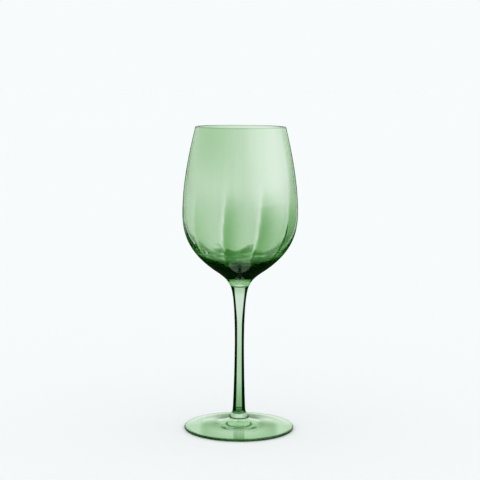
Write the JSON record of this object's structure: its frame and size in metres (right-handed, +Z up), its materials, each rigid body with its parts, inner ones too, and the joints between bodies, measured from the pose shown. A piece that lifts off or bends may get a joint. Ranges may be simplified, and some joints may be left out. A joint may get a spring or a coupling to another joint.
{
  "type": "wine glass",
  "caption": "Stemmed wine glass in clear green glass: tulip bowl with optic panels inside, slim solid stem with a flared collar, and a low domed round foot.",
  "frame": {"origin": "middle of the circle that the foot stands on", "axes": "+Z up along the stem, which is the axis that every piece is round about"},
  "size_m": [0.0838, 0.0838, 0.222],
  "materials": {
    "bowl_glass": "clear green, polished",
    "stem_glass": "clear green, polished",
    "foot_glass": "clear green, polished"
  },
  "bodies": {
    "root": {"bowl": "bowl_glass", "stem": "stem_glass", "foot": "foot_glass"}
  },
  "joints": []
}
